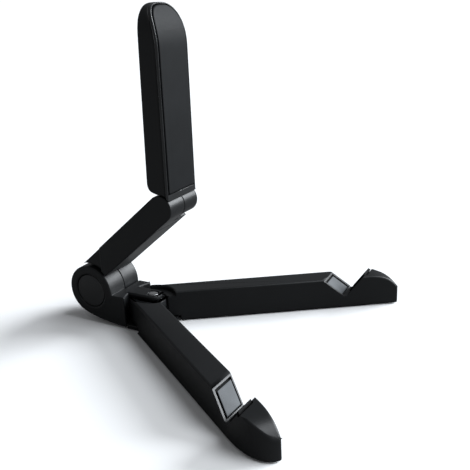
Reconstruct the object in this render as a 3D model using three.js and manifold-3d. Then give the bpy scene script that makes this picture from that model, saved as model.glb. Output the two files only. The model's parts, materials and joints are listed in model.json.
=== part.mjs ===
// A folding tablet stand: two notched legs on one upright pin, a link and an upper arm with a rubber pad.
// Millimetres, +Z up, front towards -Y. The origin is on the floor, midway along and across the open stand.
import * as THREE from "three";
import { mergeVertices } from "three/addons/utils/BufferGeometryUtils.js";
import Module from "manifold-3d";

const wasm = await Module();
wasm.setup();

// Driving dimensions
const WIDTH = 28; // across the hub, the link, the arm and the two folded legs
const HALF = WIDTH / 2;
const GAP = 0.3; // between pieces that touch
const SEAM = 0.2; // from the middle plane to each half of a hinge
const FOOT_PROUD = 0.6; // rubber feet hold every shell this far off the floor

const LEG_ANGLE = 34; // each leg's opening from straight ahead, in degrees
const LEG_STOP_ANGLE = 47; // slope of the heels that meet when the legs are fully open
const LEG_LENGTH = 153.7; // pin to toe
const LEG_HEIGHT = 20.1;
const TOE_HEIGHT = 11.6;
const TOE_DROP = 136; // the top curves down from here, measured from the pin
const TOE_TURN = 127; // the outer side curves in from here
const TOE_BLUNT = 9; // how squarely the toe leaves its end
const TOE_SWEEP = 17; // and its outer side
const TOE_TAPER = 13; // and its top
const NOTCH_START = 105; // from the pin, along the inner side
const NOTCH_DEPTH = 11.8;
const NOTCH_REAR_RUN = 13.5; // length of the rear slope, seen from above
const NOTCH_FLOOR = 2;
const NOTCH_FRONT_RUN = 10.5;
const NOTCH_SKEW = Math.tan(THREE.MathUtils.degToRad(31));

const PIN_Y = -37.6; // the legs' pin, ahead of the link's hinge
const HEEL_RADIUS = 14.8; // the legs' heels turn in front of the hub's hollow face
const HUB_FACE_RADIUS = 30; // the hub's front face is hollowed to this radius
const HUB_FACE_Y = PIN_Y + 15.3; // its deepest point
const RECESS_TOP = 13.2; // the legs are cut down round the pin, to this radius on top
const RECESS_UNDER = 15.6; // and to this one underneath, clear of the base plate
const KNUCKLE_RADIUS = 7.5;
const TONGUE_HALF = 5.5;
const TONGUE_TOP = 20.6;
const TONGUE_THICK = 3;
const PLATE_TOP = 3.4;

const LINK_HINGE_Z = 21.3;
const LINK_HINGE_RADIUS = 16.1;
const LINK_ANGLE = 39.6; // the link's rise from level, in degrees
const LINK_REACH = 82.4; // hinge to hinge, along the link
const LINK_UNDER = 0.65; // the link's underside, above the line through its lower hinge
const ARM_HINGE_RADIUS = (LINK_HINGE_RADIUS - LINK_UNDER) / 2;
const ARM_HINGE_RISE = LINK_UNDER + ARM_HINGE_RADIUS;

const ARM_LEAN = 0.9; // forward, in degrees
const ARM_LENGTH = 108.1; // hinge to top
const ARM_SHOULDER = 89.7; // the straight sides end here, and the crown begins
const CROWN_POWER = 2.9; // 2 is an ellipse, more is squarer
const ROLL_START = 86; // above this height the front curves back
const ROLL_DEPTH = 6.9; // by this much at the top
const CHIN = 5; // the front's lower edge, above the hinge
const PAD_BOTTOM = 9.2;
const ARM_FRONT = -6.55;
const ARM_BACK = 7.5;
const FRAME_THICK = 1.65;
const PAD_MARGIN = 1.3;

const AXLE_RADIUS = 2.4;
const BORE_RADIUS = 2.55;
const NUT_POCKET_RADIUS = 4.7;
const WASHER_POCKET_RADIUS = 5.7;
const SCREW_RADIUS = 1.2;
const SCREW_HEAD_RADIUS = 2.4;
const SCREW_HEAD_THICK = 1.3;

// Materials
function finish(color, roughness, metalness = 0) {
  return new THREE.MeshStandardMaterial({ color, roughness, metalness });
}

const shell = finish(0x1d1f23, 0.45);
const cap = finish(0x24262b, 0.4);
const softPad = finish(0x4a4e55, 0.8);
const notchPad = finish(0x8d939c, 0.7);
const rubber = finish(0x101113, 0.9);
const steel = finish(0xb4b8bd, 0.35, 1);

// Solids

// A closed three.js geometry as a manifold-3d solid.
function solid(geometry) {
  const flat = geometry.index ? geometry.toNonIndexed() : geometry;
  const bare = new THREE.BufferGeometry();
  bare.setAttribute("position", flat.getAttribute("position"));
  const merged = mergeVertices(bare, 1e-4);
  const vertProperties = merged.getAttribute("position").array;
  const triVerts = new Uint32Array(merged.index.array);
  return new wasm.Manifold(new wasm.Mesh({ numProp: 3, vertProperties, triVerts }));
}

function join(...pieces) {
  return pieces.reduce((sum, piece) => sum.add(piece));
}

function cut(body, ...tools) {
  return tools.reduce((left, tool) => left.subtract(tool), body);
}

// A closed outline through corners [a, b].
function outline(corners) {
  return new THREE.Shape(corners.map(([a, b]) => new THREE.Vector2(a, b)));
}

function disc(radius, a = 0, b = 0) {
  return new THREE.Shape().absarc(a, b, radius, 0, 2 * Math.PI);
}

// How a shape drawn in (a, b) is laid across each axis: x takes it as (y, z), y as (x, z) and z as (x, y).
const X = new THREE.Vector3(1, 0, 0);
const Y = new THREE.Vector3(0, 1, 0);
const Z = new THREE.Vector3(0, 0, 1);
const LAY = {
  x: new THREE.Matrix4().makeBasis(Y, Z, X),
  y: new THREE.Matrix4().makeBasis(X, Z, Y.clone().negate()),
  z: new THREE.Matrix4(),
};

// A shape pushed along an axis from one height to another.
function extrude(axis, shape, from, to, curveSegments = 12) {
  const geometry = new THREE.ExtrudeGeometry(shape, { depth: to - from, bevelEnabled: false, curveSegments });
  geometry.translate(0, 0, axis === "y" ? -to : from);
  return solid(geometry.applyMatrix4(LAY[axis]));
}

function drum(axis, radius, from, to, [a, b] = [0, 0], sides = 48) {
  return extrude(axis, disc(radius, a, b), from, to, sides / 2); // an arc gets two sides for each segment
}

function block([x0, x1], [y0, y1], [z0, z1]) {
  const geometry = new THREE.BoxGeometry(x1 - x0, y1 - y0, z1 - z0);
  return solid(geometry.translate((x0 + x1) / 2, (y0 + y1) / 2, (z0 + z1) / 2));
}

// A turned piece: steps are [radius, height] from one end to the other, along +Z.
function turned(steps, sides = 32) {
  const points = [[0, steps[0][1]], ...steps, [0, steps.at(-1)[1]]].map(([r, h]) => new THREE.Vector2(r, h));
  return solid(new THREE.LatheGeometry(points, sides).rotateX(Math.PI / 2));
}

// A cross-head screw: the head's outer face is at height 0 and the shank runs up.
function screw(length) {
  const head = turned([
    [SCREW_HEAD_RADIUS, 0],
    [SCREW_HEAD_RADIUS, SCREW_HEAD_THICK],
    [SCREW_RADIUS, SCREW_HEAD_THICK],
    [SCREW_RADIUS, length],
  ], 24);
  const slot = block([-1.4, 1.4], [-0.25, 0.25], [-1, 0.7]);
  return cut(head, slot, slot.rotate([0, 0, 90]));
}

// The hole that a screw needs in the piece it holds: a head pocket from the outer face, then the shank.
function screwHole(length, [x, y, z]) {
  const hole = join(drum("z", SCREW_HEAD_RADIUS + GAP, -1, SCREW_HEAD_THICK + GAP, [0, 0], 24),
    drum("z", SCREW_RADIUS + GAP, 0, length + GAP, [0, 0], 24));
  return hole.translate([x, y, z]);
}

// Meshes

function mesh(name, body, material) {
  const { numProp, vertProperties, triVerts } = body.getMesh();
  const position = new Float32Array(triVerts.length * 3);
  triVerts.forEach((v, i) => position.set(vertProperties.subarray(v * numProp, v * numProp + 3), i * 3));
  const geometry = new THREE.BufferGeometry();
  geometry.setAttribute("position", new THREE.BufferAttribute(position, 3));
  geometry.computeVertexNormals();
  const made = new THREE.Mesh(geometry, material);
  made.name = name;
  return made;
}

// A hinge that runs across: bolt, nut and friction washer about the X axis, at (y, z).
// The bolt's head is on the near side (side = -1) or the far side (side = 1).
function crossHinge(name, side, y, z, headX, nutX) {
  const bolt = join(
    drum("x", 4.2, headX, headX + 2.2, [y, z], 32),
    drum("x", AXLE_RADIUS, headX + 2, nutX + 2.6, [y, z], 32),
  );
  const nut = cut(
    extrude("x", hexagon(4.3, y, z), nutX, nutX + 2.2),
    drum("x", AXLE_RADIUS + GAP / 2, nutX - 1, nutX + 3, [y, z], 32),
  );
  const washer = cut(
    drum("x", 5.4, -0.6, 0.6, [y, z], 32),
    drum("x", BORE_RADIUS + 0.1, -1, 1, [y, z], 32),
  );
  const sided = (body) => (side < 0 ? body : body.mirror([1, 0, 0]));
  return [
    mesh(name + "_bolt", sided(bolt), steel),
    mesh(name + "_nut", sided(nut), steel),
    mesh(name + "_washer", washer, steel),
  ];
}

function hexagon(radius, a, b) {
  return new THREE.Shape(Array.from({ length: 6 }, (_, i) =>
    new THREE.Vector2(a + radius * Math.cos((i * Math.PI) / 3), b + radius * Math.sin((i * Math.PI) / 3)),
  ));
}

// What a cross hinge needs removed from the piece on its near side (side = -1) or far side (side = 1).
function hingeHollow(side, y, z, capRadius, capDepth, pocketX) {
  const span = (from, to) => (side < 0 ? [-to, -from] : [from, to]);
  return join(
    drum("x", BORE_RADIUS, ...span(0, HALF), [y, z], 32),
    drum("x", WASHER_POCKET_RADIUS, ...span(-1, 0.6 + GAP), [y, z], 32),
    drum("x", NUT_POCKET_RADIUS, ...span(pocketX, HALF), [y, z], 32),
    drum("x", capRadius + GAP, ...span(HALF - capDepth, HALF + 1), [y, z]),
  );
}

function sideCap(name, side, y, z, radius, sunk, thick) {
  const outer = HALF - sunk;
  const [from, to] = side < 0 ? [-outer, thick - outer] : [outer - thick, outer];
  return mesh(name, drum("x", radius, from, to, [y, z]), cap);
}

// Hub: the root, with the link's hinge at (0, LINK_HINGE_Z) and the legs' pin at (0, PIN_Y)

const HUB_CAP = { radius: 10.4, depth: 1.8, sunk: 0.6, thick: 1 };
const HINGE_HEAD_X = -12;
const HINGE_NUT_X = 9.2;
const PLATE_SCREW_X = 6;
const PLATE_SCREW_Y = -18.3;
const PLATE_SCREW_LENGTH = 11;
const HUB_FOOT_Y = -28;

function tongue(rearY, z0, z1) {
  const shape = new THREE.Shape();
  shape.moveTo(TONGUE_HALF, rearY);
  shape.lineTo(-TONGUE_HALF, rearY);
  shape.lineTo(-TONGUE_HALF, PIN_Y);
  shape.absarc(0, PIN_Y, TONGUE_HALF, Math.PI, 2 * Math.PI);
  return extrude("z", shape, z0, z1, 12);
}

// The teardrop side of the hub, in (y, z): round about the hinge, with a long low curve to the front.
function hubSide() {
  const [heelY, heelZ] = [7, LINK_HINGE_Z - 14.5];
  const front = PIN_Y + 5;
  const shape = new THREE.Shape();
  shape.moveTo(heelY, heelZ);
  shape.lineTo(0, LINK_HINGE_Z);
  shape.lineTo(-13, LINK_HINGE_Z + 2);
  shape.lineTo(-16, TONGUE_TOP);
  shape.lineTo(front, TONGUE_TOP);
  shape.lineTo(front, FOOT_PROUD);
  shape.quadraticCurveTo(-3.2, 1.9, heelY, heelZ);
  return shape;
}

function hubPlateOutline(grow) {
  return outline([
    [-9 - grow, -14 + grow],
    [-9 - grow, HUB_FACE_Y - 3],
    [9 + grow, HUB_FACE_Y - 3],
    [9 + grow, -14 + grow],
  ]);
}

function hub() {
  const y = 0;
  const z = LINK_HINGE_Z;
  const linkRoom = drum("x", LINK_HINGE_RADIUS + 0.5, -SEAM - GAP, HALF + 1, [y, z], 64);
  const farRear = block([-SEAM - GAP, HALF + 1], [-6, 30], [-1, 60]);
  const face = (radius) => drum("z", radius, -1, 60, [0, HUB_FACE_Y - HUB_FACE_RADIUS], 120);
  const body = cut(extrude("x", hubSide(), -HALF, HALF, 10), linkRoom, farRear, face(HUB_FACE_RADIUS));
  const knuckle = drum("x", LINK_HINGE_RADIUS, -HALF, -SEAM, [y, z], 64);
  const plateRoom = extrude("z", hubPlateOutline(GAP), -1, PLATE_TOP + GAP);
  const apron = join(
    drum("z", HALF, FOOT_PROUD, PLATE_TOP, [0, PIN_Y], 64),
    block([-HALF, HALF], [PIN_Y, HUB_FACE_Y], [FOOT_PROUD, PLATE_TOP]),
  ).intersect(face(HUB_FACE_RADIUS - GAP));
  const screws = [-1, 1].map((side) => [side * PLATE_SCREW_X, PLATE_SCREW_Y, FOOT_PROUD + GAP]);
  const pinSeat = join(
    drum("z", 3.3, TONGUE_TOP - 1.6, TONGUE_TOP + 1, [0, PIN_Y], 32),
    drum("z", AXLE_RADIUS + GAP / 2, 10, TONGUE_TOP + 1, [0, PIN_Y], 32),
  );
  const housing = cut(
    join(body, knuckle, tongue(-19, TONGUE_TOP - TONGUE_THICK, TONGUE_TOP)),
    hingeHollow(-1, y, z, HUB_CAP.radius, HUB_CAP.depth, 9.6),
    plateRoom,
    pinSeat,
    ...screws.map((at) => screwHole(PLATE_SCREW_LENGTH, at)),
  );
  const plate = cut(
    join(extrude("z", hubPlateOutline(0), FOOT_PROUD, PLATE_TOP), apron),
    ...screws.map((at) => screwHole(PLATE_SCREW_LENGTH, at)),
    drum("z", 3.9, -1, 1.8, [0, HUB_FOOT_Y], 32),
    drum("z", AXLE_RADIUS + GAP / 2, -1, 10, [0, PIN_Y], 32),
    drum("z", 3.5, -1, 1.9, [0, PIN_Y], 32),
  );
  const pin = turned([
    [3.1, 0.8],
    [3.1, 1.6],
    [AXLE_RADIUS, 1.6],
    [AXLE_RADIUS, TONGUE_TOP - 1.3],
    [2.9, TONGUE_TOP - 1.3],
    [2.9, TONGUE_TOP - 0.3],
    [2, TONGUE_TOP + 0.1],
  ]).translate([0, PIN_Y, 0]);
  const washer = cut(
    drum("z", 6.5, KNUCKLE_SPLIT - 0.3, KNUCKLE_SPLIT + 0.3, [0, PIN_Y], 32),
    drum("z", AXLE_RADIUS + GAP, 0, 30, [0, PIN_Y], 32),
  );
  const foot = turned([[3.3, 0], [3.6, 0.3], [3.6, 1.5]]).translate([0, HUB_FOOT_Y, 0]);
  return [
    mesh("hub_housing", housing, shell),
    mesh("hub_base_plate", plate, shell),
    sideCap("hub_side_cap", -1, y, z, HUB_CAP.radius, HUB_CAP.sunk, HUB_CAP.thick),
    mesh("leg_pin", pin, steel),
    mesh("leg_pin_washer", washer, steel),
    mesh("hub_foot", foot, rubber),
    ...screws.map((at, i) => mesh("hub_screw_" + (i + 1), screw(PLATE_SCREW_LENGTH).translate(at), steel)),
    ...crossHinge("link_hinge", -1, y, z, HINGE_HEAD_X, HINGE_NUT_X),
  ];
}

// Legs, drawn folded: the inner side is at x = SEAM, the pin is the origin and the toe points to -Y

const KNUCKLE_SPLIT = 10.45; // height of the washer between the two legs' knuckles
const KNUCKLE_LOW = 3.7;
const KNUCKLE_HIGH = 17.3;
const SWEEP_FROM = 10; // degrees behind the outer side
const COVER_FROM = 20;
const COVER_TO = 100;
const COVER_MARGIN = 1.8;
const COVER_THICK = 1.7;
const LEG_MIDDLE = HALF / 2;
const LEG_SCREWS = [32, 90];
const LEG_SCREW_LENGTH = 10;
const LEG_FOOT = { at: 134, radius: 4.2 };

// From above: a heel that turns about the pin, straight sides and a toe that rounds off from the outer side.
function legPlan() {
  const stop = THREE.MathUtils.degToRad(90 - LEG_STOP_ANGLE);
  const outerEdge = Math.acos(HALF / HEEL_RADIUS);
  const toe = new THREE.Shape();
  toe.moveTo(SEAM, 0);
  toe.lineTo(SEAM, -LEG_LENGTH);
  toe.bezierCurveTo(TOE_BLUNT, -LEG_LENGTH, HALF, -TOE_TURN - TOE_SWEEP, HALF, -TOE_TURN);
  toe.lineTo(HALF, 0);
  toe.absarc(0, 0, HEEL_RADIUS, outerEdge, stop);
  return toe;
}

// From the side, in (y, z): flat along the top, then curving down over the toe.
function legSide() {
  const shape = new THREE.Shape();
  shape.moveTo(20, FOOT_PROUD);
  shape.lineTo(20, LEG_HEIGHT);
  shape.lineTo(-TOE_DROP, LEG_HEIGHT);
  shape.quadraticCurveTo(-TOE_DROP - TOE_TAPER, LEG_HEIGHT, -LEG_LENGTH - 1, TOE_HEIGHT - 1.6);
  shape.lineTo(-LEG_LENGTH - 1, FOOT_PROUD);
  return shape;
}

// Anything drawn in (y, z) at the inner side and carried across the leg along the notch's slant.
function slanted(corners, x0, x1) {
  const square = extrude("x", outline(corners), x0, x1, 4);
  const shear = new THREE.Matrix4().set(1, 0, 0, 0, -NOTCH_SKEW, 1, 0, 0, 0, 0, 1, 0, 0, 0, 0, 1);
  return square.transform(shear.elements);
}

const notchFloorZ = LEG_HEIGHT - NOTCH_DEPTH;
const notchRearFoot = [-(NOTCH_START + NOTCH_REAR_RUN), notchFloorZ];
const notchFrontFoot = [notchRearFoot[0] - NOTCH_FLOOR, notchFloorZ];
const notchRearTop = [-NOTCH_START, LEG_HEIGHT];
const notchFrontTop = [notchFrontFoot[0] - NOTCH_FRONT_RUN, LEG_HEIGHT];

// A flat slab on one of the notch's walls: between two shares of its slope and two distances in front of it.
function wallSlab(foot, top, [low, high], [deep, proud], x0, x1) {
  const along = new THREE.Vector2(top[0] - foot[0], top[1] - foot[1]);
  const out = new THREE.Vector2(-along.y, along.x).normalize();
  if (top[0] < foot[0]) out.negate();
  const corner = (share, off) => [
    foot[0] + along.x * share + out.x * off,
    foot[1] + along.y * share + out.y * off,
  ];
  return slanted([corner(low, deep), corner(high, deep), corner(high, proud), corner(low, proud)], x0, x1);
}

function notch() {
  const above = LEG_HEIGHT + 5;
  return slanted([
    notchRearFoot,
    notchFrontFoot,
    notchFrontTop,
    [notchFrontTop[0], above],
    [notchRearTop[0], above],
    notchRearTop,
  ], -2, HALF + 2);
}

// The pads and their pockets: shares of the wall's slope, margins at the inner and outer sides,
// and how far they lie in front of the wall (below zero is sunk in).
const REAR_PAD = { share: [0.08, 0.79], inner: 1.2, outer: 2.7, deep: -1.3, proud: -0.1 };
const REAR_POCKET = { share: [0.05, 0.86], inner: 0.8, outer: 1.4, deep: -1.6, proud: 1 };
const FRONT_PAD = { share: [0.12, 1], inner: 3.3, outer: 1.3, deep: -1, proud: 1 };
const FRONT_POCKET = { share: [0.1, 1.3], inner: 3, outer: 1, deep: -1.3, proud: 2 };

function padSlab([foot, top], pad) {
  return wallSlab(foot, top, pad.share, [pad.deep, pad.proud], SEAM + pad.inner, HALF - pad.outer);
}

// Room for the upper tongue over a leg's heel as the leg turns: a pie slice behind the pin.
function heelSweep() {
  const reach = HEEL_RADIUS + 2;
  const from = THREE.MathUtils.degToRad(SWEEP_FROM);
  const slice = new THREE.Shape();
  slice.moveTo(0, 0);
  slice.lineTo(reach * Math.cos(from), reach * Math.sin(from));
  slice.absarc(0, 0, reach, from, Math.PI / 2);
  return slice;
}

function leg(side, upper) {
  const name = side < 0 ? "left_leg" : "right_leg";
  const rearWall = [notchRearFoot, notchRearTop];
  const frontWall = [notchFrontFoot, notchFrontTop];
  const disk = (radius, z0, z1) => drum("z", radius, z0, z1, [0, 0], 64);
  const own = upper ? [KNUCKLE_SPLIT + 0.6, KNUCKLE_HIGH] : [KNUCKLE_LOW, KNUCKLE_SPLIT - 0.6];
  const bar = cut(
    extrude("z", legPlan(), FOOT_PROUD, LEG_HEIGHT, 12).intersect(extrude("x", legSide(), -5, HALF + 5, 10)),
    disk(RECESS_TOP, KNUCKLE_HIGH, 40),
    extrude("z", heelSweep(), KNUCKLE_HIGH, 40, 8),
    disk(RECESS_UNDER, -5, KNUCKLE_LOW),
    upper ? disk(KNUCKLE_RADIUS + 0.5, -5, own[0]) : disk(KNUCKLE_RADIUS + 0.5, own[1], 40),
  );
  const cover = [-COVER_TO, -COVER_FROM];
  const inside = [SEAM + COVER_MARGIN, HALF - COVER_MARGIN];
  const wall = 1.5;
  const cavity = block([inside[0] + wall, inside[1] - wall], [cover[0] + wall, cover[1] - wall],
    [0, LEG_HEIGHT - 2]);
  const bosses = LEG_SCREWS.map((d) =>
    drum("z", 3, FOOT_PROUD + COVER_THICK + GAP, LEG_HEIGHT - 1, [LEG_MIDDLE, -d], 24));
  const coverRoom = block([inside[0] - GAP, inside[1] + GAP], [cover[0] - GAP, cover[1] + GAP],
    [-1, FOOT_PROUD + COVER_THICK + GAP]);
  const screws = LEG_SCREWS.map((d) => [LEG_MIDDLE, -d, FOOT_PROUD + 0.15]);
  const body = cut(
    join(cut(join(bar, disk(KNUCKLE_RADIUS, ...own)), cavity), ...bosses),
    coverRoom,
    notch(),
    padSlab(rearWall, REAR_POCKET),
    padSlab(frontWall, FRONT_POCKET),
    drum("z", BORE_RADIUS + 0.05, -5, 40, [0, 0], 32),
    drum("z", LEG_FOOT.radius + GAP, -1, 1.9, [LEG_MIDDLE - 1, -LEG_FOOT.at], 32),
    ...screws.map((at) => screwHole(LEG_SCREW_LENGTH, at)),
  );
  const coverPlate = cut(
    block(inside, cover, [FOOT_PROUD, FOOT_PROUD + COVER_THICK]),
    ...screws.map((at) => screwHole(LEG_SCREW_LENGTH, at)),
  );
  const foot = turned([[3.9, 0], [LEG_FOOT.radius, 0.3], [LEG_FOOT.radius, 1.6]]);
  const pieces = [
    [name + "_body", body, shell],
    [name + "_under_cover", coverPlate, shell],
    [name + "_rear_notch_pad", padSlab(rearWall, REAR_PAD), notchPad],
    [name + "_front_notch_pad", padSlab(frontWall, FRONT_PAD), rubber],
    [name + "_foot", foot.translate([LEG_MIDDLE - 1, -LEG_FOOT.at, 0]), rubber],
    ...screws.map((at, i) => [name + "_screw_" + (i + 1), screw(LEG_SCREW_LENGTH).translate(at), steel]),
  ];
  const group = new THREE.Group();
  group.position.set(0, PIN_Y, 0);
  group.rotation.z = THREE.MathUtils.degToRad(side * LEG_ANGLE);
  const handed = (body) => (side < 0 ? body.mirror([1, 0, 0]) : body);
  group.add(...pieces.map(([label, body, material]) => mesh(label, handed(body), material)));
  return group;
}

// Link, drawn level: the lower hinge is the origin, the upper hinge is at (-LINK_REACH, ARM_HINGE_RISE)

const LINK_END_CUT = 74.5; // the far half stops here, short of the arm's knuckle
const LINK_COVER = { from: 22, to: 69, half: 12.3, thick: 1.6 };
// The near side is stepped in beside the hub, back to a line between two points [along the link, height].
const LINK_RELIEF = { low: [13.4, -0.2], high: [28.5, 17.7], depth: 1.5 };
const ARM_CAP = { radius: 4.9, depth: 1.6, sunk: 0.4, thick: 0.9 };
const ARM_HINGE_HEAD_X = -12;
const ARM_HINGE_NUT_X = 9.4;
const ARM_BORE_END = 12.3; // the nut is moulded into the link: its bore stops short of the near side

function link() {
  const tip = [-LINK_REACH, ARM_HINGE_RISE];
  const box = (x, u, n) => block(x, [-u[1], -u[0]], n);
  const height = [LINK_UNDER, LINK_HINGE_RADIUS];
  const nearHalf = cut(
    join(box([-HALF, 0], [0, LINK_REACH], height),
      drum("x", ARM_HINGE_RADIUS, -HALF, -SEAM, tip, 48)),
    drum("x", LINK_HINGE_RADIUS + 1.9, -HALF - 1, SEAM + GAP, [0, 0], 64),
    box([-SEAM, 1], [LINK_END_CUT, LINK_REACH + 20], [-5, 30]),
  );
  const farHalf = cut(
    join(box([-1, HALF], [0, LINK_END_CUT], height), drum("x", LINK_HINGE_RADIUS, SEAM, HALF, [0, 0], 64)),
    drum("x", ARM_HINGE_RADIUS + 0.6, -SEAM, HALF + 1, tip, 48),
    drum("x", LINK_HINGE_RADIUS + 1.9, -2, SEAM, [0, 0], 64),
  );
  const cover = LINK_COVER;
  const coverTop = LINK_UNDER + cover.thick;
  const wall = 1.5;
  const cavity = box([wall - cover.half, cover.half - wall], [cover.from + wall, cover.to - wall],
    [0, LINK_HINGE_RADIUS - 2]);
  const coverRoom = box([-cover.half - GAP, cover.half + GAP], [cover.from - GAP, cover.to + GAP],
    [-1, coverTop + GAP]);
  const { low, high, depth } = LINK_RELIEF;
  const reliefSide = outline([[-low[0], low[1]], [-high[0], high[1]], [1, high[1]], [1, low[1]]]);
  const relief = extrude("x", reliefSide, -HALF - 1, depth - HALF);
  const nutPocket = join(
    drum("x", BORE_RADIUS, -ARM_BORE_END, 0, tip, 32),
    drum("x", WASHER_POCKET_RADIUS, -0.6 - GAP, 1, tip, 32),
    drum("x", NUT_POCKET_RADIUS, GAP - ARM_BORE_END, GAP - ARM_HINGE_NUT_X, tip, 32),
  );
  const body = cut(
    join(nearHalf, farHalf),
    cavity,
    coverRoom,
    relief,
    hingeHollow(1, 0, 0, HUB_CAP.radius, HUB_CAP.depth, HINGE_NUT_X - GAP),
    nutPocket,
  );
  const coverPlate = box([-cover.half, cover.half], [cover.from, cover.to], [LINK_UNDER, coverTop]);
  const group = new THREE.Group();
  group.position.set(0, 0, LINK_HINGE_Z);
  group.rotation.x = THREE.MathUtils.degToRad(-LINK_ANGLE);
  group.add(
    mesh("link_body", body, shell),
    mesh("link_under_cover", coverPlate, shell),
    sideCap("link_side_cap", 1, 0, 0, HUB_CAP.radius, HUB_CAP.sunk, HUB_CAP.thick),
    ...crossHinge("arm_hinge", 1, ...tip, ARM_HINGE_HEAD_X, ARM_HINGE_NUT_X),
  );
  return group;
}

// Upper arm, drawn upright about its hinge

const ARM_SCREWS_Z = [26, 78];
const ARM_SCREW_LENGTH = 7.5;
const CAVITY_MARGIN = 3.2;
const CAVITY_TOP = 84;
const CROWN_STEPS = 28;
const ROLL_STEPS = 8;
const ARM_BACK_TOP = 5.7; // the back, where it starts to round over
const ARM_BACK_ROUND = 100; // at this height
const PAD_PROUD = 0.5;

// From the front, in (x, z): straight sides and a rounded crown, all moved in by a margin.
function armFront(margin, bottom) {
  const half = HALF - margin;
  const crown = ARM_LENGTH - ARM_SHOULDER - margin;
  const shape = new THREE.Shape();
  shape.moveTo(-half, bottom);
  shape.lineTo(half, bottom);
  for (let i = 0; i <= CROWN_STEPS; i++) {
    const angle = (Math.PI * i) / CROWN_STEPS;
    const across = Math.sign(Math.cos(angle)) * Math.abs(Math.cos(angle)) ** (2 / CROWN_POWER);
    shape.lineTo(half * across, ARM_SHOULDER + crown * Math.sin(angle) ** (2 / CROWN_POWER));
  }
  return shape;
}

// How far the front has curved back at a height.
function roll(z) {
  return ROLL_DEPTH * (Math.max(0, z - ROLL_START) / (ARM_LENGTH - ROLL_START)) ** 2;
}

// Heights up the curved part of the front, past the top.
const rollHeights = Array.from({ length: ROLL_STEPS + 2 }, (_, i) =>
  ROLL_START + ((ARM_LENGTH - ROLL_START) * i) / ROLL_STEPS);

// A layer of the front: the armFront shape between two depths behind the front's surface, which it follows.
function layer(margin, bottom, shallow, deep) {
  const heights = [-2, ...rollHeights];
  const shape = new THREE.Shape([
    ...heights.map((z) => new THREE.Vector2(ARM_FRONT + roll(z) + shallow, z)),
    ...heights.toReversed().map((z) => new THREE.Vector2(ARM_FRONT + roll(z) + deep, z)),
  ]);
  return extrude("y", armFront(margin, bottom), -15, 15).intersect(extrude("x", shape, -HALF - 1, HALF + 1));
}

// From the side, in (y, z): a little thinner towards the top, where the back rounds over.
function armSide() {
  const shape = new THREE.Shape();
  shape.moveTo(ARM_FRONT, CHIN);
  shape.lineTo(2.5, 8.6);
  shape.quadraticCurveTo(ARM_BACK, 9.2, ARM_BACK, 14.5);
  shape.lineTo(ARM_BACK_TOP, ARM_BACK_ROUND);
  shape.quadraticCurveTo(ARM_BACK_TOP - 0.2, ARM_BACK_ROUND + 4, ARM_BACK_TOP - 0.7, ARM_LENGTH + 0.5);
  shape.lineTo(ARM_FRONT, ARM_LENGTH + 0.5);
  return shape;
}

function arm() {
  const bodyFront = FRAME_THICK + GAP;
  const plateBack = bodyFront + 1.3;
  const plateBottom = PAD_BOTTOM + 3;
  const housingFront = ARM_FRONT + bodyFront;
  const linkRoom = drum("x", ARM_HINGE_RADIUS + 0.5, -HALF - 1, HALF + 1, [0, 0], 64);
  const neck = extrude("x", outline([
    [housingFront, CHIN + 8],
    [housingFront, 3],
    [-4, -3],
    [4, -3],
    [ARM_BACK - 0.2, 3],
    [ARM_BACK - 0.05, CHIN + 10],
  ]), SEAM, HALF);
  const knuckle = drum("x", ARM_HINGE_RADIUS, SEAM, HALF, [0, 0], 48);
  const outer = layer(0, CHIN, bodyFront, 20).intersect(extrude("x", armSide(), -HALF - 1, HALF + 1, 12));
  const cavity = layer(CAVITY_MARGIN + 1.2, plateBottom + 1.2, bodyFront - 1, 4 - ARM_FRONT)
    .intersect(block([-HALF, HALF], [-10, 10], [0, CAVITY_TOP]));
  const bosses = ARM_SCREWS_Z.map((z) => drum("y", 3, ARM_FRONT + plateBack + GAP, 5, [0, z], 24));
  const screwAt = ARM_SCREWS_Z.map((z) => [0, housingFront + 0.1, z]);
  const faced = (body, at) => body.rotate([-90, 0, 0]).translate(at);
  const holes = screwAt.map((at) => faced(screwHole(ARM_SCREW_LENGTH, [0, 0, 0]), at));
  const housing = cut(
    join(cut(outer, cavity, linkRoom), ...bosses, neck, knuckle),
    layer(CAVITY_MARGIN - GAP, plateBottom - GAP, bodyFront - 1, plateBack + GAP),
    hingeHollow(1, 0, 0, ARM_CAP.radius, ARM_CAP.depth, 9.5),
    ...holes,
  );
  const innerPlate = cut(layer(CAVITY_MARGIN, plateBottom, bodyFront, plateBack), ...holes);
  const frame = cut(
    layer(0, CHIN, 0, FRAME_THICK),
    layer(PAD_MARGIN - 0.6, PAD_BOTTOM - 0.6, -1, FRAME_THICK + 1),
    linkRoom,
  );
  const pad = layer(PAD_MARGIN, PAD_BOTTOM, -PAD_PROUD, FRAME_THICK - 0.1);
  const group = new THREE.Group();
  group.position.set(0, -LINK_REACH, ARM_HINGE_RISE);
  group.rotation.x = THREE.MathUtils.degToRad(LINK_ANGLE + ARM_LEAN);
  group.add(
    mesh("arm_housing", housing, shell),
    mesh("arm_front_frame", frame, cap),
    mesh("arm_inner_plate", innerPlate, shell),
    mesh("arm_pad", pad, softPad),
    sideCap("arm_side_cap", 1, 0, 0, ARM_CAP.radius, ARM_CAP.sunk, ARM_CAP.thick),
    ...screwAt.map((at, i) => mesh("arm_screw_" + (i + 1), faced(screw(ARM_SCREW_LENGTH), at), steel)),
  );
  return group;
}

const stand = new THREE.Group();
const linkGroup = link();
linkGroup.add(arm());
stand.add(...hub(), leg(-1, true), leg(1, false), linkGroup);

// The origin is moved to the middle of the open stand's length.
const toeY = PIN_Y - LEG_LENGTH * Math.cos(THREE.MathUtils.degToRad(LEG_ANGLE));
stand.position.y = -(toeY + LINK_HINGE_RADIUS) / 2;

const root = new THREE.Group();
root.add(stand);
export default root;
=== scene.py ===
# The looks of a folding tablet stand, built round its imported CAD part. Metres, +Z up, front towards -Y.
import json
import math

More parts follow.
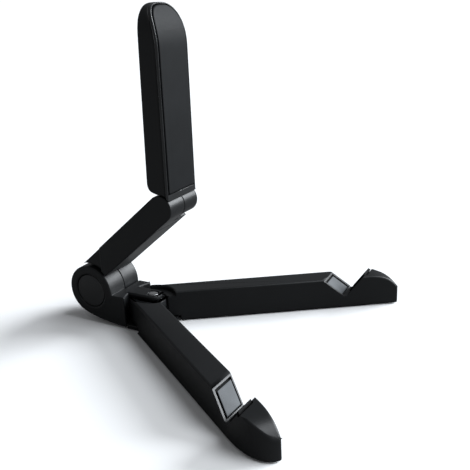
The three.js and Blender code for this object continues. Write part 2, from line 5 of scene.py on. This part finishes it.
import bmesh
import bpy
from mathutils import Matrix, Vector, geometry
from mathutils.bvhtree import BVHTree


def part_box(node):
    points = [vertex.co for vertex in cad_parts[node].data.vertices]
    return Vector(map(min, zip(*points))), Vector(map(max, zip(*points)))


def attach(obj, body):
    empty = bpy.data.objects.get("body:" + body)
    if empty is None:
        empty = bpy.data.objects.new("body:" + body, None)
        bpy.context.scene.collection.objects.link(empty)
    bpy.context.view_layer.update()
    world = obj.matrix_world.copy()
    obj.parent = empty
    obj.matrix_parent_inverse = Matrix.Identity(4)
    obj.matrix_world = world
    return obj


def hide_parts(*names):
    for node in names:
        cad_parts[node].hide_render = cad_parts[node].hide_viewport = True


MM = 0.001

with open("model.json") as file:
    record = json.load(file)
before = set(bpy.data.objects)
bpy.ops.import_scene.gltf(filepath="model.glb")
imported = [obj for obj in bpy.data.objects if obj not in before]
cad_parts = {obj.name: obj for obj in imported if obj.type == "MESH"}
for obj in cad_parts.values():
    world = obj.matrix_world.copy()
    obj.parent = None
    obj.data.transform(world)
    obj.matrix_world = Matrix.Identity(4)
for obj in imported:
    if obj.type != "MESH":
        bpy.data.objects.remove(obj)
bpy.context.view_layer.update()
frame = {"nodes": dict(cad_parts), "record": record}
bodies = frame["record"]["behaviour"]["bodies"]
BODY_OF = {node: body for body, nodes in bodies.items() for node in nodes}


# Camera

CAMERA_AT = Vector((-0.29905, -0.19518, 0.18652))
CAMERA_YAW = math.radians(-60.07)
CAMERA_PITCH = math.radians(19.25)
CAMERA_ROLL = math.radians(2.9)
CAMERA_LENS = 51.1


def make_camera():
    across = Vector((math.cos(CAMERA_YAW), math.sin(CAMERA_YAW), 0))
    level = Vector((-math.sin(CAMERA_YAW), math.cos(CAMERA_YAW), 0))
    up = Vector((0, 0, 1))
    forward = level * math.cos(CAMERA_PITCH) - up * math.sin(CAMERA_PITCH)
    above = up * math.cos(CAMERA_PITCH) + level * math.sin(CAMERA_PITCH)
    right = across * math.cos(CAMERA_ROLL) - above * math.sin(CAMERA_ROLL)
    top = across * math.sin(CAMERA_ROLL) + above * math.cos(CAMERA_ROLL)
    camera = bpy.data.objects.new("camera", bpy.data.cameras.new("camera"))
    camera.data.lens = CAMERA_LENS
    camera.matrix_world = Matrix((
        (right.x, top.x, -forward.x, CAMERA_AT.x),
        (right.y, top.y, -forward.y, CAMERA_AT.y),
        (right.z, top.z, -forward.z, CAMERA_AT.z),
        (0, 0, 0, 1),
    ))
    bpy.context.scene.collection.objects.link(camera)
    bpy.context.scene.camera = camera


# Floor and light

FLOOR_SIZE = 60
# Brightness of the world and the floor, as the camera sees them and as they light the object.
WORLD_SEEN = 1.1
WORLD_LIGHT = 0.2
FLOOR_SEEN = 0.9
FLOOR_LIGHT = 0.22
SOFT_BLUE = (0.92, 0.96, 1)
WORLD_COLOUR = (0.95, 0.97, 1, 1)
# Soft lights: the direction each comes from, its strength and its width in degrees.
LIGHTS = {
    "key_low": ((0.66, -0.60, 0.42), 4.5, 30),
    "key_high": ((0.15, -0.58, 0.80), 2.0, 34),
    "front_fill": ((0.15, -0.98, 0.12), 1.6, 26),
}


def make_light(name, toward, energy, width):
    """A large soft light at a great distance, such as a bank of softboxes."""
    lamp = bpy.data.lights.new(name, "SUN")
    lamp.energy = energy
    lamp.angle = math.radians(width)
    lamp.color = SOFT_BLUE
    obj = bpy.data.objects.new(name, lamp)
    obj.rotation_euler = (-Vector(toward)).to_track_quat("-Z", "Y").to_euler()
    bpy.context.scene.collection.objects.link(obj)


def seen_or_lit(tree, seen, lit):
    """One value where the camera looks straight at a surface, another where it lights the object."""
    share = tree.nodes.new("ShaderNodeMapRange")
    share.inputs["To Min"].default_value = lit
    share.inputs["To Max"].default_value = seen
    tree.links.new(tree.nodes.new("ShaderNodeLightPath").outputs["Is Camera Ray"], share.inputs["Value"])
    return share.outputs["Result"]


def make_world():
    """White where the camera looks past the floor, and dim as a source of light."""
    world = bpy.data.worlds.new("studio")
    world.use_nodes = True
    tree = world.node_tree
    background = tree.nodes["Background"]
    background.inputs["Color"].default_value = WORLD_COLOUR
    tree.links.new(seen_or_lit(tree, WORLD_SEEN, WORLD_LIGHT), background.inputs["Strength"])
    bpy.context.scene.world = world


def make_stage():
    bpy.ops.mesh.primitive_plane_add(size=FLOOR_SIZE, location=(0, 0, 0))
    floor = bpy.context.object
    floor.name = "floor"
    paper = bpy.data.materials.new("paper")
    paper.use_nodes = True
    shader = paper.node_tree.nodes["Principled BSDF"]
    brightness = seen_or_lit(paper.node_tree, FLOOR_SEEN, FLOOR_LIGHT)
    paper.node_tree.links.new(brightness, shader.inputs["Base Color"])
    shader.inputs["Roughness"].default_value = 0.95
    shader.inputs["Specular IOR Level"].default_value = 0.0
    floor.data.materials.append(paper)
    make_world()
    for name, (toward, energy, width) in LIGHTS.items():
        make_light(name, toward, energy, width)
    bpy.context.scene.view_settings.view_transform = "Standard"


# Materials

CLOUD_SIZE = 18 * MM
SCUFF_SIZE = 3.5 * MM
WAVE_SIZE = 20 * MM
WAVE_HEIGHT = 0.06 * MM
GRAIN_SIZE = 0.2 * MM
WORN_WIDTH = 0.7 * MM
SOFTENED = 0.5 * MM  # how widely an edge is rounded in shading alone
DUST_SIZE = 12 * MM
CELL_SIZE = 0.7 * MM
PORE_SIZE = 0.3 * MM
TARNISH_SIZE = 2 * MM
SCRATCH_SIZE = 0.2 * MM
SCRATCH_DEPTH = 0.01 * MM
# Cosines of the turn between an edge's true and rounded normals: where wear starts, and where it is full.
EDGE_STARTS = 0.995
EDGE_FULL = 0.9


class Shading:
    """A material whose nodes are added and linked by name."""

    def __init__(self, name):
        self.material = bpy.data.materials.new(name)
        self.material.use_nodes = True
        self.nodes = self.material.node_tree.nodes
        self.links = self.material.node_tree.links
        self.shader = self.nodes["Principled BSDF"]
        self.place = self.nodes.new("ShaderNodeTexCoord").outputs["Object"]

    def feed(self, socket, value):
        if isinstance(value, bpy.types.NodeSocket):
            self.links.new(value, socket)
        else:
            socket.default_value = value

    def add(self, kind, output, settings=None, **inputs):
        node = self.nodes.new("ShaderNode" + kind)
        for key, value in (settings or {}).items():
            setattr(node, key, value)
        for key, value in inputs.items():
            self.feed(node.inputs[key.replace("_", " ")], value)
        return node.outputs[output]

    def noise(self, size, detail=2.0, roughness=0.5):
        """Noise whose features are about size metres across."""
        return self.add(
            "TexNoise", "Fac", Vector=self.place, Scale=0.5 / size, Detail=detail, Roughness=roughness)

    def span(self, value, low, high, start=0.0, end=1.0):
        """value, from start to end, stretched to run from low to high."""
        return self.add(
            "MapRange", "Result", Value=value, From_Min=start, From_Max=end, To_Min=low, To_Max=high)

    def blend(self, share, first, second):
        node = self.nodes.new("ShaderNodeMix")
        node.data_type = "RGBA"
        colours = [s for s in node.inputs if s.type == "RGBA"]
        self.feed(node.inputs[0], share)
        self.feed(colours[0], first)
        self.feed(colours[1], second)
        return next(s for s in node.outputs if s.type == "RGBA")

    def maths(self, operation, first, second):
        node = self.nodes.new("ShaderNodeMath")
        node.operation = operation
        self.feed(node.inputs[0], first)
        self.feed(node.inputs[1], second)
        return node.outputs[0]

    def edges(self, radius):
        """1 within radius of a sharp edge, 0 on flat surface."""
        rounded = self.add("Bevel", "Normal", {"samples": 4}, Radius=radius)
        true = self.nodes.new("ShaderNodeNewGeometry").outputs["Normal"]
        dot = self.nodes.new("ShaderNodeVectorMath")
        dot.operation = "DOT_PRODUCT"
        self.feed(dot.inputs[0], rounded)
        self.feed(dot.inputs[1], true)
        return self.span(dot.outputs["Value"], 0, 1, EDGE_STARTS, EDGE_FULL)

    def bump(self, height, distance, strength=1.0, under=None):
        node = self.nodes.new("ShaderNodeBump")
        self.feed(node.inputs["Height"], height)
        node.inputs["Distance"].default_value = distance
        node.inputs["Strength"].default_value = strength
        if under:
            self.feed(node.inputs["Normal"], under)
        return node.outputs["Normal"]


def grey(value, blue=1.0):
    return (value, value * (1 + (blue - 1) / 2), value * blue, 1)


def moulded_plastic(name, colour, roughness, grain, specular):
    """Satin black plastic: a spark-eroded grain, cloudy gloss, and edges that handling has polished."""
    look = Shading(name)
    clouds = look.noise(CLOUD_SIZE, 3)
    scuffs = look.noise(SCUFF_SIZE, 4, 0.7)
    worn = look.maths("MULTIPLY", look.edges(WORN_WIDTH), look.span(scuffs, 0, 1, 0.35, 0.65))
    base = look.blend(clouds, grey(colour * 0.75, 1.1), grey(colour * 1.25, 1.18))
    look.feed(look.shader.inputs["Base Color"], look.blend(worn, base, grey(colour * 3, 1.15)))
    gloss = look.maths("ADD", look.span(clouds, roughness - 0.05, roughness + 0.05, 0.3, 0.7),
                       look.span(scuffs, -0.03, 0.03, 0.3, 0.7))
    polish = look.maths("MULTIPLY", worn, 0.1)
    look.feed(look.shader.inputs["Roughness"], look.maths("SUBTRACT", gloss, polish))
    look.shader.inputs["Specular IOR Level"].default_value = specular
    rounded = look.add("Bevel", "Normal", {"samples": 6}, Radius=SOFTENED)
    fine = look.bump(look.noise(GRAIN_SIZE, 2), grain, 0.5, rounded)
    uneven = look.bump(look.noise(WAVE_SIZE, 2), WAVE_HEIGHT, 0.6, fine)
    look.feed(look.shader.inputs["Normal"], uneven)
    return look.material


def soft_rubber(name, colour, roughness, grain, specular, blue):
    """Matt rubber or foam: an open pebbled skin, with dust caught in its pores."""
    look = Shading(name)
    clouds = look.noise(DUST_SIZE, 4, 0.6)
    cells = look.add("TexVoronoi", "Distance", Vector=look.place, Scale=1 / CELL_SIZE)
    pores = look.noise(PORE_SIZE, 3, 0.6)
    dusty = look.span(look.maths("MULTIPLY", clouds, pores), 0, 1, 0.18, 0.42)
    clean, dust = grey(colour * 0.8, blue), grey(colour * 1.2, blue)
    look.feed(look.shader.inputs["Base Color"], look.blend(dusty, clean, dust))
    gloss = look.span(pores, roughness - 0.06, roughness + 0.06, 0.3, 0.7)
    look.feed(look.shader.inputs["Roughness"], gloss)
    look.shader.inputs["Specular IOR Level"].default_value = specular
    fine = look.bump(pores, grain, 0.6)
    look.feed(look.shader.inputs["Normal"], look.bump(cells, grain * 2, 0.5, fine))
    return look.material


def plated_steel(name):
    """Bright steel: small scratches and patches of dulled plating."""
    look = Shading(name)
    clouds = look.noise(TARNISH_SIZE, 4, 0.7)
    scratches = look.noise(SCRATCH_SIZE, 2)
    look.shader.inputs["Metallic"].default_value = 1.0
    look.feed(look.shader.inputs["Base Color"], look.blend(clouds, grey(0.48, 1.02), grey(0.62, 1.03)))
    look.feed(look.shader.inputs["Roughness"], look.span(clouds, 0.2, 0.42, 0.3, 0.7))
    look.feed(look.shader.inputs["Normal"], look.bump(scratches, SCRATCH_DEPTH, 0.4))
    return look.material


MATERIALS = {
    "shell": moulded_plastic("shell_plastic", 0.008, 0.38, 0.016 * MM, 0.28),
    "trim": moulded_plastic("trim_plastic", 0.009, 0.32, 0.01 * MM, 0.55),
    "soft_pad": soft_rubber("soft_pad_rubber", 0.008, 0.55, 0.012 * MM, 0.12, 1.2),
    # The rear notch pads are black rubber; this lighter grey is painted reflection of the light in front.
    "notch_pad": soft_rubber("notch_pad_painted_reflection", 0.09, 0.6, 0.02 * MM, 0.25, 1.15),
    "foot_rubber": soft_rubber("foot_rubber", 0.008, 0.8, 0.03 * MM, 0.12, 1.02),
    "steel": plated_steel("bright_steel"),
}


# Pieces

FLAT = math.radians(0.4)  # faces that turn less than this are one flat side
CREASE = math.radians(25)  # edges that turn less than this are shaded smooth
WELD = 0.002 * MM
SEAM_ZONE = 1 * MM  # edges this near the middle plane lie along the seam between two halves
SEAM_ROUNDING = 0.3 * MM
FINE = 0.25 * MM  # pieces rounded less than this keep all their edges
SHORTEST_SHARE = 0.25  # the shortest edge kept on the others, as a share of their rounding
STEEL_ROUNDING = 0.12 * MM


def cleaned(node, shortest):
    """The CAD node's surface with each flat side as one face, and no edge below the shortest length."""
    bm = bmesh.new()
    bm.from_mesh(frame["nodes"][node].data)
    bmesh.ops.remove_doubles(bm, verts=bm.verts, dist=WELD)
    bmesh.ops.dissolve_limit(bm, angle_limit=FLAT, verts=bm.verts, edges=bm.edges)
    if shortest:
        bmesh.ops.dissolve_degenerate(bm, dist=shortest, edges=bm.edges)
    return bm


def piece(name, bm, node, slot):
    """A piece that rides where its CAD node does, and stands for it."""
    mesh = bpy.data.meshes.new(name)
    bm.to_mesh(mesh)
    bm.free()
    mesh.materials.append(MATERIALS[slot])
    obj = bpy.data.objects.new(name, mesh)
    bpy.context.scene.collection.objects.link(obj)
    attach(obj, BODY_OF[node])
    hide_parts(node)
    return obj


def pad_side(node):
    """The middle of a notch pad and the direction its open face looks."""
    data = frame["nodes"][node].data
    middle = sum((v.co for v in data.vertices), Vector()) / len(data.vertices)
    rearward = 1 if "front_notch" in node else -1
    largest = max(data.polygons, key=lambda face: face.area)
    normal = largest.normal.copy()
    return middle, normal if normal.y * rearward > 0 else -normal


PAD_ROOM = 1.2 * MM  # edges this near a notch pad's box are left sharp
PAD_DEPTH = 2 * MM  # a pocket's floor is no further than this behind the middle of its pad
PAD_REACH = 3 * MM
POCKET_FACING = 0.99  # least cosine between the pocket's floor and its pad's face
NOTCH_PADS = [node for node in frame["nodes"] if node.endswith("notch_pad")]
PAD_BOXES = [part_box(node) for node in NOTCH_PADS]
PAD_SIDES = [pad_side(node) for node in NOTCH_PADS]


def near_pad(point):
    """True beside a notch pad, where the pad's pocket leaves no room for a rounded edge."""
    for low, high in PAD_BOXES:
        if all(low[k] - PAD_ROOM < point[k] < high[k] + PAD_ROOM for k in range(3)):
            return True
    return False


def pocket_floor(face):
    """True for the floor of a notch pad's pocket, which takes the matte black foot rubber and so stays dark
    round the pad.
    """
    for middle, outward in PAD_SIDES:
        offset = face.calc_center_median() - middle
        behind = -PAD_DEPTH < offset.dot(outward) < 0
        if face.normal.dot(outward) > POCKET_FACING and behind and offset.length < PAD_REACH:
            return True
    return False


def weigh_edges(bm, radius):
    """Marks the outer edges to be rounded, finely along a seam, and the gentle ones to be shaded smooth."""
    weight = bm.edges.layers.float.new("bevel_weight_edge")
    for edge in bm.edges:
        turn = edge.calc_face_angle_signed(0)
        edge.smooth = abs(turn) < CREASE
        middle = (edge.verts[0].co + edge.verts[1].co) / 2
        if turn > CREASE and not near_pad(middle):
            at_seam = all(abs(v.co.x) < SEAM_ZONE for v in edge.verts)
            edge[weight] = min(1, SEAM_ROUNDING / radius) if at_seam else 1


def moulded(node, slot, radius):
    """The node with its outer edges rounded; the floor of a pad's pocket takes the matte black foot rubber.
    """
    bm = cleaned(node, SHORTEST_SHARE * radius if radius > FINE else 0)
    weigh_edges(bm, radius)
    for face in bm.faces:
        face.smooth = True
        face.material_index = int(pocket_floor(face))
    matte_floor = any(face.material_index for face in bm.faces)
    obj = piece(node + "_skin", bm, node, slot)
    if matte_floor:
        obj.data.materials.append(MATERIALS["foot_rubber"])
    bevel = obj.modifiers.new("rounding", "BEVEL")
    bevel.limit_method = "WEIGHT"
    bevel.width = radius
    bevel.segments = 3
    bevel.use_clamp_overlap = False
    obj.modifiers.new("shading", "WEIGHTED_NORMAL").keep_sharp = True
    return obj


RING_POINTS = 160
ROUGHLY_OUTWARD = 0.4  # least cosine for a pad's open face, which leans away from level
OWN_FACE = 0.6  # least cosine for the other faces on the same side
INSIDE = 0.985  # heights are met just inside the outline, clear of the solid's own edge
RIM_ANGLES = (0, 22, 45, 67, 90)
FACE_SHARES = (0.12, 0.3, 0.5, 0.7, 0.86, 0.95, 1)
TIP_WELD = 0.3 * MM
SLIVER = 0.005 * MM
TINY = 1e-9


def hull_outline(points, count):
    """The convex outline of flat points, as evenly spaced points from its lowest corner."""
    flat = [Vector((p[0], p[1])) for p in points]
    ring = [flat[i] for i in geometry.convex_hull_2d(flat)]
    start = min(range(len(ring)), key=lambda i: (round(ring[i].x + ring[i].y, 5), ring[i].x))
    ring = ring[start:] + ring[:start]
    sides = [(a, b, (b - a).length) for a, b in zip(ring, ring[1:] + ring[:1])]
    step = sum(length for _, _, length in sides) / count
    result = []
    walked, index = 0.0, 0
    for i in range(count):
        while index < len(sides) - 1 and walked + sides[index][2] < i * step:
            walked += sides[index][2]
            index += 1
        a, b, length = sides[index]
        result.append(a.lerp(b, min(1, (i * step - walked) / max(length, TINY))))
    return result


class Spine:
    """The line along the middle of an outline, which its points are drawn in towards."""

    def __init__(self, outline):
        low = [min(p[k] for p in outline) for k in (0, 1)]
        high = [max(p[k] for p in outline) for k in (0, 1)]
        half = [(high[k] - low[k]) / 2 for k in (0, 1)]
        self.middle = Vector([(high[k] + low[k]) / 2 for k in (0, 1)])
        self.long = 0 if half[0] > half[1] else 1
        self.narrow = min(half)
        self.reach = max(half) - self.narrow

    def drawn_in(self, point, share):
        core = self.middle.copy()
        offset = point[self.long] - self.middle[self.long]
        core[self.long] += max(-self.reach, min(self.reach, offset))
        return core + (point - core) * share


class Slab:
    """A pad's CAD solid, laid flat with z out of its open face; side 1 is its front and side -1 its back."""

    def __init__(self, node, outward):
        solid = bmesh.new()
        solid.from_mesh(frame["nodes"][node].data)
        facing = [face for face in solid.faces if face.normal.dot(outward) > ROUGHLY_OUTWARD]
        normal = max(facing, key=lambda face: face.calc_area()).normal.copy()
        across = Vector((1, 0, 0)).cross(normal).normalized()
        self.flat = Matrix((normal.cross(across), across, normal))
        self.back_to_place = self.flat.transposed()
        self.tree = BVHTree.FromBMesh(solid)
        self.outlines = {}
        for side in (1, -1):
            faces = [face for face in solid.faces if face.normal.dot(normal) * side > OWN_FACE]
            corners = [self.flat @ v.co for face in faces for v in face.verts]
            self.outlines[side] = hull_outline(corners, RING_POINTS)
        solid.free()

    def height(self, point, side):
        start = self.back_to_place @ Vector((point[0], point[1], side))
        hit = self.tree.ray_cast(start, self.back_to_place @ Vector((0, 0, -side)))[0]
        return (self.flat @ hit)[2] if hit else None

    def ring(self, side, depth, rim, swell):
        """Places round one side, depth in from its outline; the front sinks at its rim and swells."""
        outline = self.outlines[side]
        spine = Spine(outline)
        share = max(0, 1 - depth / spine.narrow)
        heights = [self.height(spine.drawn_in(p, min(share, INSIDE)), side) for p in outline]
        known = [h for h in heights if h is not None]
        usual = sum(known) / len(known)
        fall = sunk(depth, share, rim, swell) if side > 0 else 0
        places = [spine.drawn_in(p, share) for p in outline]
        levels = [(usual if h is None else h) - fall for h in heights]
        return [self.back_to_place @ Vector((p[0], p[1], z)) for p, z in zip(places, levels)]


def sunk(depth, share, rim, swell):
    """How far the front lies below its CAD face: rolled over at the rim, and highest in the middle."""
    rolled = math.sqrt(max(0, rim * rim - max(0, rim - depth) ** 2))
    return rim - rolled + swell * share * share


def soft_slab(node, slot, outward, rim, swell):
    """A pad in the space of its CAD solid, with a rim that rolls over and a slightly swollen face."""
    slab = Slab(node, outward)
    narrow = Spine(slab.outlines[1]).narrow
    depths = [rim * (1 - math.cos(math.radians(angle))) for angle in RIM_ANGLES]
    depths += [rim + (narrow - rim) * share for share in FACE_SHARES]
    places = [slab.ring(-1, 0, rim, swell)] + [slab.ring(1, depth, rim, swell) for depth in depths]
    bm = bmesh.new()
    rings = [[bm.verts.new(place) for place in ring] for ring in places]
    for lower, upper in zip(rings, rings[1:]):
        for i in range(RING_POINTS):
            bm.faces.new((lower[i - 1], lower[i], upper[i], upper[i - 1]))
    bm.faces.new(rings[0])
    bmesh.ops.remove_doubles(bm, verts=rings[-1], dist=TIP_WELD)
    bmesh.ops.dissolve_degenerate(bm, dist=SLIVER, edges=bm.edges)
    bmesh.ops.recalc_face_normals(bm, faces=bm.faces)
    for face in bm.faces:
        face.smooth = True
    obj = piece(node + "_soft", bm, node, slot)
    obj.modifiers.new("shading", "WEIGHTED_NORMAL").keep_sharp = True
    return obj


# The stand

FRONTWARD = Vector((0, -1, 0))
BACKWARD = Vector((0, 1, 0))
ARM_PAD_RIM = 0.5 * MM
ARM_PAD_SWELL = 0.15 * MM
NOTCH_PAD_RIM = 0.3 * MM
NOTCH_PAD_SWELL = 0.1 * MM

# Slot and rounding, in millimetres, of each moulded piece.
ROUNDING = {
    "hub_housing": ("shell", 1.0),
    "hub_base_plate": ("shell", 0.4),
    "hub_side_cap": ("trim", 0.4),
    "hub_foot": ("foot_rubber", 0.3),
    "link_body": ("shell", 0.6),
    "link_under_cover": ("shell", 0.3),
    "link_side_cap": ("trim", 0.4),
    "arm_housing": ("shell", 1.0),
    "arm_front_frame": ("trim", 0.35),
    "arm_inner_plate": ("shell", 0.3),
    "arm_side_cap": ("trim", 0.3),
}
for side in ("left_leg", "right_leg"):
    ROUNDING[side + "_body"] = ("shell", 1.0)
    ROUNDING[side + "_under_cover"] = ("shell", 0.3)
    ROUNDING[side + "_foot"] = ("foot_rubber", 0.3)

make_camera()
make_stage()
for name, (slot, millimetres) in ROUNDING.items():
    moulded(name, slot, millimetres * MM)
soft_slab("arm_pad", "soft_pad", FRONTWARD, ARM_PAD_RIM, ARM_PAD_SWELL)
for side in ("left_leg", "right_leg"):
    rear, front = side + "_rear_notch_pad", side + "_front_notch_pad"
    # Rear pads take the grey with painted reflection; front pads take the plain black foot rubber.
    soft_slab(rear, "notch_pad", FRONTWARD, NOTCH_PAD_RIM, NOTCH_PAD_SWELL)
    soft_slab(front, "foot_rubber", BACKWARD, NOTCH_PAD_RIM, NOTCH_PAD_SWELL)
for name in frame["nodes"]:
    if name not in ROUNDING and not name.endswith("_pad"):
        moulded(name, "steel", STEEL_ROUNDING)
